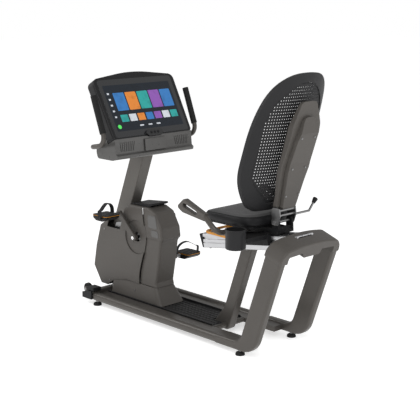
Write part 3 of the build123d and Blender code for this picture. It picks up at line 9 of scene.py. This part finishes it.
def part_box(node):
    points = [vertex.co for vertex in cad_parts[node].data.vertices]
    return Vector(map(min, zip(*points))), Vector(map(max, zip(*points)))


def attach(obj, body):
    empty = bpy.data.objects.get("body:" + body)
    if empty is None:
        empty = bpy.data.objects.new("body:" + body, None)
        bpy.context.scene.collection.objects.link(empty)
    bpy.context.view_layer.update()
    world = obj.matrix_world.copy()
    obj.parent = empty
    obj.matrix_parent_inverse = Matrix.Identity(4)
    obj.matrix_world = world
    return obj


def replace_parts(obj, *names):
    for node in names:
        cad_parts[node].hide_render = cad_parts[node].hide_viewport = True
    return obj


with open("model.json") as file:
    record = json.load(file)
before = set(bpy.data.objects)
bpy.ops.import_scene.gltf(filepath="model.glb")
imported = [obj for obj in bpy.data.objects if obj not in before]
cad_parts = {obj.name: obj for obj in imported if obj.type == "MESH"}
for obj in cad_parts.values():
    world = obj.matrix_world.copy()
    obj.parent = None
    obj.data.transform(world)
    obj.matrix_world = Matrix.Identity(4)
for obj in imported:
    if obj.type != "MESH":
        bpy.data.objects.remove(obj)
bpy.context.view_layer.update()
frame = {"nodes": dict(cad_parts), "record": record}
nodes = frame["nodes"]
scene = bpy.context.scene

# Camera: place, direction and lens.
view = {"place": (-3.7802, 3.6039, 1.7590), "toward": (0.6988, -0.6833, -0.2117), "lens": 86.05}
camera = bpy.data.objects.new("camera", bpy.data.cameras.new("camera"))
scene.collection.objects.link(camera)
camera.location = view["place"]
camera.rotation_euler = Vector(view["toward"]).to_track_quat("-Z", "Y").to_euler()
camera.data.lens = view["lens"]
camera.data.sensor_width = 36
camera.data.clip_end = 60
scene.camera = camera
print("camera done")


# Shader helpers.
def addNode(tree, kind, **settings):
    node = tree.nodes.new(kind)
    for key, value in settings.items():
        setattr(node, key, value)
    return node


def feed(tree, source, socket):
    if isinstance(source, bpy.types.NodeSocket):
        tree.links.new(source, socket)
    else:
        socket.default_value = source


def calc(tree, operation, *values):
    node = addNode(tree, "ShaderNodeMath", operation=operation)
    for index, value in enumerate(values):
        feed(tree, value, node.inputs[index])
    return node.outputs[0]


def mixColor(tree, factor, first, second, blend="MIX"):
    node = addNode(tree, "ShaderNodeMix", data_type="RGBA", blend_type=blend)
    feed(tree, factor, node.inputs[0])
    feed(tree, first, node.inputs[6])
    feed(tree, second, node.inputs[7])
    return node.outputs[2]


def noise(tree, vector, scale, detail=3.0):
    node = addNode(tree, "ShaderNodeTexNoise")
    tree.links.new(vector, node.inputs["Vector"])
    feed(tree, scale, node.inputs["Scale"])
    node.inputs["Detail"].default_value = detail
    return node.outputs["Fac"]


def openGroup(name, inputs, outputs):
    tree = bpy.data.node_groups.new(name, "ShaderNodeTree")
    for label, kind, value in inputs:
        socket = tree.interface.new_socket(label, in_out="INPUT", socket_type=kind)
        if value is not None:
            socket.default_value = value
    for label, kind in outputs:
        tree.interface.new_socket(label, in_out="OUTPUT", socket_type=kind)
    return tree, addNode(tree, "NodeGroupInput"), addNode(tree, "NodeGroupOutput")


# Mottled colour, fine grain, worn edges and settled dust, shared by every material.
surface, given, out = openGroup(
    "surfaceDetail",
    [("Color", "NodeSocketColor", (0.1, 0.1, 0.1, 1)), ("Roughness", "NodeSocketFloat", 0.4),
     ("Mottle", "NodeSocketFloat", 0.15), ("Grain Scale", "NodeSocketFloat", 900.0),
     ("Grain Depth", "NodeSocketFloat", 0.2), ("Stretch", "NodeSocketVector", (1, 1, 1)),
     ("Wear", "NodeSocketFloat", 0.2), ("Dust", "NodeSocketFloat", 0.1), ("Height", "NodeSocketFloat", 0.0)],
    [("Color", "NodeSocketColor"), ("Roughness", "NodeSocketFloat"), ("Normal", "NodeSocketVector")])
coords = addNode(surface, "ShaderNodeTexCoord").outputs["Object"]
stretched = addNode(surface, "ShaderNodeVectorMath", operation="MULTIPLY")
surface.links.new(coords, stretched.inputs[0])
surface.links.new(given.outputs["Stretch"], stretched.inputs[1])
grain = noise(surface, stretched.outputs[0], given.outputs["Grain Scale"], 2.0)
cloud = noise(surface, coords, 7.0, 4.0)
smudge = noise(surface, coords, 38.0, 5.0)
shade = calc(surface, "MULTIPLY_ADD", calc(surface, "SUBTRACT", cloud, 0.5), given.outputs["Mottle"], 1.0)
shade = calc(surface, "MULTIPLY_ADD", calc(surface, "SUBTRACT", grain, 0.5),
             calc(surface, "MULTIPLY", given.outputs["Mottle"], 0.6), shade)
shadeRgb = addNode(surface, "ShaderNodeCombineColor")
for socket in shadeRgb.inputs:
    surface.links.new(shade, socket)
base = mixColor(surface, 1.0, given.outputs["Color"], shadeRgb.outputs[0], "MULTIPLY")
rounded = addNode(surface, "ShaderNodeBevel", samples=4)
rounded.inputs["Radius"].default_value = 0.002
flat = addNode(surface, "ShaderNodeNewGeometry")
turn = addNode(surface, "ShaderNodeVectorMath", operation="DOT_PRODUCT")
surface.links.new(rounded.outputs[0], turn.inputs[0])
surface.links.new(flat.outputs["Normal"], turn.inputs[1])
edge = calc(surface, "MULTIPLY", calc(surface, "SUBTRACT", 1.0, turn.outputs["Value"]), 6.0)
edge = calc(surface, "MINIMUM", calc(surface, "MAXIMUM", edge, 0.0), 1.0)
edge = calc(surface, "MULTIPLY", calc(surface, "MULTIPLY", edge, smudge), given.outputs["Wear"])
worn = mixColor(surface, edge, base, (0.42, 0.41, 0.40, 1))
upward = addNode(surface, "ShaderNodeSeparateXYZ")
surface.links.new(flat.outputs["Normal"], upward.inputs[0])
settled = calc(surface, "MAXIMUM", calc(surface, "SUBTRACT", upward.outputs["Z"], 0.55), 0.0)
settled = calc(surface, "MULTIPLY", calc(surface, "MULTIPLY", settled, smudge), given.outputs["Dust"])
surface.links.new(mixColor(surface, settled, worn, (0.45, 0.43, 0.40, 1)), out.inputs["Color"])
rough = calc(surface, "MULTIPLY_ADD", calc(surface, "SUBTRACT", smudge, 0.5), 0.16, given.outputs["Roughness"])
surface.links.new(calc(surface, "ADD", rough, calc(surface, "MULTIPLY", settled, 0.5)), out.inputs["Roughness"])
bump = addNode(surface, "ShaderNodeBump")
bump.inputs["Distance"].default_value = 0.0004
surface.links.new(given.outputs["Grain Depth"], bump.inputs["Strength"])
surface.links.new(calc(surface, "ADD", grain, given.outputs["Height"]), bump.inputs["Height"])
surface.links.new(rounded.outputs[0], bump.inputs["Normal"])
surface.links.new(bump.outputs[0], out.inputs["Normal"])

# Each finish: colour, roughness, metal, mottle, grain scale, grain depth, stretch, wear, dust, coat.
finishes = {
    "frame_paint": ((0.082, 0.075, 0.068), 0.40, 0.35, 0.16, 1400, 0.22, (1, 1, 1), 0.25, 0.10, 0.15),
    "mast_paint": ((0.105, 0.098, 0.090), 0.40, 0.35, 0.12, 1400, 0.22, (1, 1, 1), 0.20, 0.05, 0.10),
    "shroud": ((0.084, 0.077, 0.070), 0.45, 0.0, 0.14, 1100, 0.35, (1, 1, 1), 0.12, 0.10, 0.05),
    "housing": ((0.016, 0.016, 0.017), 0.42, 0.0, 0.14, 1200, 0.35, (1, 1, 1), 0.12, 0.05, 0.05),
    "back_plastic": ((0.019, 0.019, 0.020), 0.52, 0.0, 0.16, 1000, 0.4, (1, 1, 1), 0.12, 0.06, 0.0),
    "black_plastic": ((0.010, 0.010, 0.011), 0.50, 0.0, 0.25, 900, 0.5, (1, 1, 1), 0.15, 0.12, 0.0),
    "gloss_black": ((0.008, 0.008, 0.009), 0.16, 0.0, 0.10, 300, 0.03, (1, 1, 1), 0.05, 0.05, 0.6),
    "panel": ((0.085, 0.083, 0.080), 0.30, 0.3, 0.10, 500, 0.06, (1, 1, 1), 0.10, 0.05, 0.4),
    "rubber": ((0.014, 0.014, 0.014), 0.66, 0.0, 0.30, 700, 0.7, (1, 1, 1), 0.08, 0.18, 0.0),
    "aluminium": ((0.50, 0.50, 0.51), 0.34, 1.0, 0.10, 900, 0.16, (0.03, 1, 1), 0.0, 0.03, 0.0),
    "steel": ((0.24, 0.24, 0.24), 0.34, 1.0, 0.14, 900, 0.20, (1, 0.06, 1), 0.1, 0.05, 0.0),
    "chrome": ((0.80, 0.80, 0.80), 0.12, 1.0, 0.04, 500, 0.03, (1, 1, 1), 0.0, 0.03, 0.0),
    "iron": ((0.09, 0.09, 0.09), 0.55, 0.8, 0.3, 500, 0.6, (1, 1, 1), 0.2, 0.1, 0.0),
    "yellow": ((0.62, 0.25, 0.010), 0.32, 0.0, 0.10, 900, 0.15, (1, 1, 1), 0.08, 0.05, 0.3),
    "vinyl_grey": ((0.075, 0.075, 0.076), 0.48, 0.0, 0.22, 620, 0.9, (1, 1, 1), 0.0, 0.08, 0.0),
    "vinyl_black": ((0.009, 0.009, 0.010), 0.46, 0.0, 0.22, 620, 0.9, (1, 1, 1), 0.0, 0.08, 0.0),
    "mesh": ((0.022, 0.022, 0.023), 0.60, 0.0, 0.2, 900, 0.9, (1, 1, 1), 0.0, 0.05, 0.0),
    "glass": ((0.006, 0.007, 0.009), 0.07, 0.0, 0.0, 200, 0.0, (1, 1, 1), 0.0, 0.0, 1.0)}


def finish(name):
    color, roughness, metal, mottle, scale, depth, stretch, wear, dust, coat = finishes[name]
    made = bpy.data.materials.new(name)
    made.use_nodes = True
    tree = made.node_tree
    shader = tree.nodes["Principled BSDF"]
    detail = addNode(tree, "ShaderNodeGroup", node_tree=surface)
    for label, value in (("Color", (*color, 1)), ("Roughness", roughness), ("Mottle", mottle),
                         ("Grain Scale", scale), ("Grain Depth", depth), ("Stretch", stretch),
                         ("Wear", wear), ("Dust", dust)):
        detail.inputs[label].default_value = value
    for label, target in (("Color", "Base Color"), ("Roughness", "Roughness"), ("Normal", "Normal")):
        tree.links.new(detail.outputs[label], shader.inputs[target])
    shader.inputs["Metallic"].default_value = metal
    shader.inputs["Coat Weight"].default_value = coat
    shader.inputs["Specular IOR Level"].default_value = 0.20 if metal < 0.5 and coat < 0.5 else 0.5
    shader.inputs["Coat Roughness"].default_value = 0.12
    return made


materials = {name: finish(name) for name in finishes}
special = {"console_housing": "housing", "back_shell": "back_plastic",
           "console_glass": "glass", "cup_holder": "housing",
           "seat_cushion": "vinyl_black"}
slotOf = {row["node"]: row["material_slot"] for row in frame["record"]["subparts"]}
for name, node in nodes.items():
    wanted = special.get(name, slotOf.get(name, "black_plastic"))
    node.data.materials.clear()
    node.data.materials.append(materials[wanted if wanted in materials else "black_plastic"])
print("materials done")


def makeMesh(name, points, faces, names, index=None, smooth=True):
    mesh = bpy.data.meshes.new(name)
    mesh.from_pydata([tuple(p) for p in points], [], [tuple(int(i) for i in f) for f in faces])
    for label in names:
        mesh.materials.append(materials[label])
    if index is not None:
        mesh.polygons.foreach_set("material_index", np.asarray(index, np.int32))
    mesh.polygons.foreach_set("use_smooth", [smooth] * len(mesh.polygons))
    mesh.update()
    made = bpy.data.objects.new(name, mesh)
    scene.collection.objects.link(made)
    return made


def ringFaces(rows, count, closed):
    # Quads between row i and row i+1 of count points, wrapping round each row.
    last = rows if closed else rows - 1
    return [(i * count + j, i * count + (j + 1) % count,
             (i + 1) % rows * count + (j + 1) % count, (i + 1) % rows * count + j)
            for i in range(last) for j in range(count)]


def tube(name, path, radius, label, sides=10):
    # Ring at path point i: p + radius (cos a, sin a) in the plane of the path's own normal and Z.
    path = np.asarray(path, float)
    run = np.roll(path, -1, 0) - np.roll(path, 1, 0)
    run /= np.linalg.norm(run, axis=1)[:, None]
    side = np.cross(run, (0, 0, 1.0))
    side /= np.linalg.norm(side, axis=1)[:, None]
    up = np.cross(side, run)
    angle = np.arange(sides) / sides * math.tau
    points = (path[:, None] + radius * (np.cos(angle)[None, :, None] * side[:, None]
                                        + np.sin(angle)[None, :, None] * up[:, None])).reshape(-1, 3)
    return makeMesh(name, points, ringFaces(len(path), sides, True), [label])


# Seat cushion: a crowned closed form with a grey top panel, black sides and a piped seam.
cushion = {"corner": 4.0, "crown": 0.008, "pull": 0.010, "bolster": 0.010, "seam": 0.0019, "around": 160}
low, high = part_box("seat_cushion")
middle, half = (low + high) / 2, (high - low) / 2
thick = high.z - low.z
angles = np.arange(cushion["around"]) / cushion["around"] * math.tau
# Outline: (|cos t|^(2/n), |sin t|^(2/n)) with the signs kept, pulled in between the corners.
power = 2 / cushion["corner"]
pull = 1 - cushion["pull"] * (0.5 + 0.5 * np.cos(4 * angles))
plan = np.stack([np.sign(np.cos(angles)) * np.abs(np.cos(angles)) ** power * pull,
                 np.sign(np.sin(angles)) * np.abs(np.sin(angles)) ** power * pull], 1)
# Profile rows: reach from the middle, height as a share of the thickness, 0 side or 1 top.
profile = [(0.02, 0.0, 0), (0.5, 0.0, 0), (0.86, 0.0, 0), (0.91, 0.015, 0), (0.95, 0.07, 0),
           (0.98, 0.18, 0),
           (0.995, 0.32, 0), (1.0, 0.46, 0), (0.996, 0.58, 0), (0.982, 0.68, 0), (0.962, 0.745, 0),
           (0.950, 0.752, 0), (0.940, 0.765, 1), (0.915, 0.815, 1), (0.88, 0.855, 1), (0.84, 0.880, 1),
           (0.80, 0.888, 1), (0.785, 0.870, 1), (0.77, 0.888, 1), (0.70, 0.905, 1), (0.58, 0.915, 1),
           (0.44, 0.92, 1), (0.30, 0.92, 1), (0.15, 0.92, 1), (0.02, 0.92, 1)]


def cushionPoint(reach, height):
    # z = low + thickness * height, plus a crown (1 - r^2), side bolsters |y|^3 and a rear rise.
    x, y = plan[:, 0] * reach, plan[:, 1] * reach
    lift = max(0.0, (height - 0.5) / 0.42)
    z = low.z + thick * height + lift * (
        cushion["crown"] * (1 - reach ** 2) + cushion["bolster"] * np.abs(y) ** 3
        + 0.008 * np.clip(-x, 0, 1) ** 2 - 0.016 * np.clip(x, 0, 1) ** 3)
    return np.stack([middle.x + half.x * x, middle.y + half.y * y, z], 1)


rows = np.concatenate([cushionPoint(reach, height) for reach, height, _ in profile])
count = len(angles)
faces = ringFaces(len(profile), count, False)
index = [profile[i][2] for i in range(len(profile) - 1) for _ in range(count)]
faces += [tuple(range(count))[::-1], tuple(range((len(profile) - 1) * count, len(profile) * count))]
pad = makeMesh("seat_pad", rows, faces, ["vinyl_black", "vinyl_grey"], index + [0, 1])
smoother = pad.modifiers.new("smoother", "SUBSURF")
smoother.levels = smoother.render_levels = 1
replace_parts(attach(pad, "carriage"), "seat_cushion")
piping = tube("seat_piping", cushionPoint(0.952, 0.752), cushion["seam"], "vinyl_black")
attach(piping, "carriage")
print("cushion done")

# Backrest web: a sheet on the CAD sheet's rear face, with a rounded slot in each cell.
web = {"across": 0.0125, "tall": 0.0150, "slot": 0.38, "thick": 0.0022, "past": 0.001, "stand": 0.1,
       "shares": (1.0, 0.995, 0.99, 0.98, 0.97, 0.96, 0.95, 0.94)}
source = nodes["back_mesh"].data
sheetTree = BVHTree.FromPolygons([v.co.copy() for v in source.vertices],
                                 [tuple(f.vertices) for f in source.polygons])
low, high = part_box("back_mesh")
acrossCount = int((high.y - low.y) / web["across"]) + 1
tallCount = int((high.z - low.z) / web["tall"]) + 1
ys = np.linspace(low.y - web["past"], high.y + web["past"], acrossCount + 1)
zs = np.linspace(low.z - web["past"], high.z + web["past"], tallCount + 1)


middleZ = (low.z + high.z) / 2


def onSheet(y, z):
    # Straight ahead onto the rear face, or a little nearer the middle where that misses.
    for share in web["shares"]:
        start = Vector((low.x - web["stand"], y * share, middleZ + (z - middleZ) * share))
        place = sheetTree.ray_cast(start, Vector((1, 0, 0)))[0]
        if place is not None:
            return tuple(place), share == 1.0
    return None, False


webPoints, webFaces, known = [], [], {}


def webPoint(y, z):
    key = (round(y, 6), round(z, 6))
    if key not in known:
        place, inside = onSheet(y, z)
        known[key] = (None, False)
        if place is not None:
            known[key] = (len(webPoints), inside)
            webPoints.append(place)
    return known[key]


# Cell ring k: 8 points of the square edge; slot ring k: slot half sizes times (cos a, sin a).
square = ((1, 0), (1, 1), (0, 1), (-1, 1), (-1, 0), (-1, -1), (0, -1), (1, -1))
for i in range(acrossCount):
    for j in range(tallCount):
        y, z = (ys[i] + ys[i + 1]) / 2, (zs[j] + zs[j + 1]) / 2
        dy, dz = (ys[i + 1] - ys[i]) / 2, (zs[j + 1] - zs[j]) / 2
        outer = [webPoint(y + sy * dy, z + sz * dz) for sy, sz in square]
        if any(k is None for k, _ in outer):
            continue
        if all(inside for _, inside in outer):
            inner = [webPoint(y + dy * web["slot"] * math.cos(a), z + dz * web["slot"] * math.sin(a))
                     for a in np.arange(8) / 8 * math.tau]
            for k in range(8):
                n = (k + 1) % 8
                webFaces.append((outer[k][0], inner[k][0], inner[n][0], outer[n][0]))
        else:
            webFaces.append(tuple(k for k, _ in outer)[::-1])
sheetPiece = makeMesh("back_web", webPoints, webFaces, ["mesh"])
wall = sheetPiece.modifiers.new("wall", "SOLIDIFY")
wall.thickness = web["thick"]
wall.offset = -1.0
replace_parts(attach(sheetPiece, "backrest"), "back_mesh")
print("backrest done")


# Thin coloured line round each pedal's upper edge, on the hull of its rim.
pedalLine = {"below": 0.006, "band": 0.004, "radius": 0.0012}


def hull(points):
    # Monotone chain in X and Y.
    points = sorted({(round(p[0], 5), round(p[1], 5)) for p in points})
    chains = []
    for sweep in (points, points[::-1]):
        chain = []
        for p in sweep:
            while len(chain) > 1 and ((chain[-1][0] - chain[-2][0]) * (p[1] - chain[-2][1])
                                      - (chain[-1][1] - chain[-2][1]) * (p[0] - chain[-2][0])) <= 0:
                chain.pop()
            chain.append(p)
        chains += chain[:-1]
    return chains


for side in ("left", "right"):
    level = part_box("pedal_" + side)[1].z - pedalLine["below"]
    edgePoints = [v.co for v in nodes["pedal_" + side].data.vertices if v.co.z > level - pedalLine["band"]]
    line = tube("pedal_line_" + side, [(x, y, level) for x, y in hull(edgePoints)],
                pedalLine["radius"], "yellow", 8)
    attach(line, "pedal_" + side)

# Screen picture: generic tiles, menu marks and a round button, standing 0.3 mm off the glass.
tilt = math.radians(29)  # of the glass, back from upright
outward = np.array((-math.cos(tilt), 0, math.sin(tilt)))
screenUp = np.array((math.sin(tilt), 0, math.cos(tilt)))
screenLeft = np.array((0, 1.0, 0))
glass = np.array([v.co for v in nodes["console_glass"].data.vertices])
face = (glass @ outward).max()
glassLow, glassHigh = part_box("console_glass")
centre = np.array((glassLow + glassHigh) / 2)
centre = centre + (face - centre @ outward) * outward
glow = {"picture": ((0.006, 0.011, 0.019), 0.05), "blue": ((0.03, 0.16, 0.42), 0.32),
        "teal": ((0.02, 0.30, 0.28), 0.32), "orange": ((0.62, 0.20, 0.03), 0.32),
        "violet": ((0.22, 0.08, 0.36), 0.32), "pale": ((0.55, 0.58, 0.62), 0.32),
        "green": ((0.06, 0.50, 0.08), 0.8)}
for name, (color, power) in glow.items():
    made = materials[name] = bpy.data.materials.new("screen_" + name)
    made.use_nodes = True
    tree = made.node_tree
    shader = tree.nodes["Principled BSDF"]
    place = addNode(tree, "ShaderNodeTexCoord").outputs["Object"]
    cloudy = calc(tree, "MULTIPLY_ADD", noise(tree, place, 26.0, 4.0), 1.5, 0.25)
    dim = tuple(c * 0.25 for c in color)
    blendIn = mixColor(tree, calc(tree, "MINIMUM", cloudy, 1.0), (*dim, 1), (*color, 1))
    tree.links.new(blendIn, shader.inputs["Base Color"])
    tree.links.new(blendIn, shader.inputs["Emission Color"])
    shader.inputs["Emission Strength"].default_value = power
    shader.inputs["Roughness"].default_value = 0.1
screenParts = {}


def tile(name, across, up, wide, tall, corner, lift, steps):
    # Rounded rectangle: corner centres plus corner (cos a, sin a).
    points = []
    for quarter, (sx, sy) in enumerate(((1, 1), (-1, 1), (-1, -1), (1, -1))):
        for k in range(steps + 1):
            a = (quarter + k / steps) * math.pi / 2
            points.append((across + sx * (wide / 2 - corner) + corner * math.cos(a),
                           up + sy * (tall / 2 - corner) + corner * math.sin(a)))
    screenParts.setdefault(name, []).append(
        [centre - screenLeft * p + screenUp * q + outward * lift for p, q in points])


# Rows on the glass: colours, first place, step along, step up, size, corner, lift, steps round a corner.
rowsOnScreen = [
    (("picture",), (0.0, 0.0), 0.0, 0.0, (0.475, 0.268), 0.004, 0.0002, 6),
    (("blue", "orange", "teal", "violet", "blue"), (-0.148, 0.035), 0.083, 0.0, (0.076, 0.105), 0.004, 0.0004, 6),
    (("teal", "pale", "orange", "blue", "violet", "pale", "teal"), (-0.160, -0.062), 0.0595, 0.0,
     (0.050, 0.042), 0.003, 0.0004, 6),
    (("pale",) * 5, (-0.217, 0.085), 0.0, -0.034, (0.014, 0.010), 0.002, 0.0004, 6),
    (("green",), (-0.214, -0.108), 0.0, 0.0, (0.024, 0.024), 0.0119, 0.0005, 10),
    (("pale",) * 3, (-0.06, -0.112), 0.06, 0.0, (0.028, 0.008), 0.003, 0.0004, 6)]
for colors, (across, up), along, rise, (wide, tall), corner, lift, steps in rowsOnScreen:
    for k, name in enumerate(colors):
        tile(name, across + k * along, up + k * rise, wide, tall, corner, lift, steps)
for name, shapes in screenParts.items():
    points = [p for shape in shapes for p in shape]
    size = len(shapes[0])
    faces, start = [], 0
    for shape in shapes:
        faces.append(tuple(range(start, start + len(shape))))
        start += len(shape)
    lit = makeMesh("screen_" + name, points, faces, [name], smooth=False)
    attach(lit, "base")
print("screen done")

# Floor, lights and sky.
studio = {"reach": 30, "floor": (0.92, 0.92, 0.92, 1), "sky": 0.50, "glow": 0.56, "key": 58, "fill": 20, "rim": 48}
floor = bpy.data.materials.new("studio_floor")
floor.use_nodes = True
floorTree = floor.node_tree
floorShader = floorTree.nodes["Principled BSDF"]
spread = noise(floorTree, addNode(floorTree, "ShaderNodeTexCoord").outputs["Object"], 0.6)
floorTree.links.new(mixColor(floorTree, spread, (0.90, 0.90, 0.90, 1), studio["floor"]),
                    floorShader.inputs["Base Color"])
floorShader.inputs["Roughness"].default_value = 0.75
floorShader.inputs["Emission Color"].default_value = (1, 1, 1, 1)
floorShader.inputs["Emission Strength"].default_value = studio["glow"]
materials["floor"] = floor
reach = studio["reach"]
corners = [(-reach, -reach, 0), (reach, -reach, 0), (reach, reach, 0), (-reach, reach, 0)]
ground = makeMesh("studio_ground", corners, [(0, 1, 2, 3)], ["floor"])
for name, place, size in (("key", (-2.6, 2.4, 3.4), 2.2), ("fill", (-3.4, -1.6, 1.8), 2.6),
                          ("rim", (2.6, 2.2, 2.6), 2.0)):
    light = bpy.data.objects.new(name, bpy.data.lights.new(name, "AREA"))
    light.data.energy, light.data.size = studio[name], size
    light.location = place
    light.rotation_euler = (Vector((0, 0, 0.6)) - Vector(place)).to_track_quat("-Z", "Y").to_euler()
    scene.collection.objects.link(light)
world = scene.world or bpy.data.worlds.new("sky")
scene.world = world
world.use_nodes = True
sky = world.node_tree
sky.nodes["Background"].inputs[0].default_value = (1, 1, 1, 1)
seen = addNode(sky, "ShaderNodeLightPath").outputs["Is Camera Ray"]
sky.links.new(calc(sky, "MULTIPLY_ADD", seen, 1.0 - studio["sky"], studio["sky"]), sky.nodes["Background"].inputs[1])
scene.view_settings.view_transform = "Standard"
print("studio done")
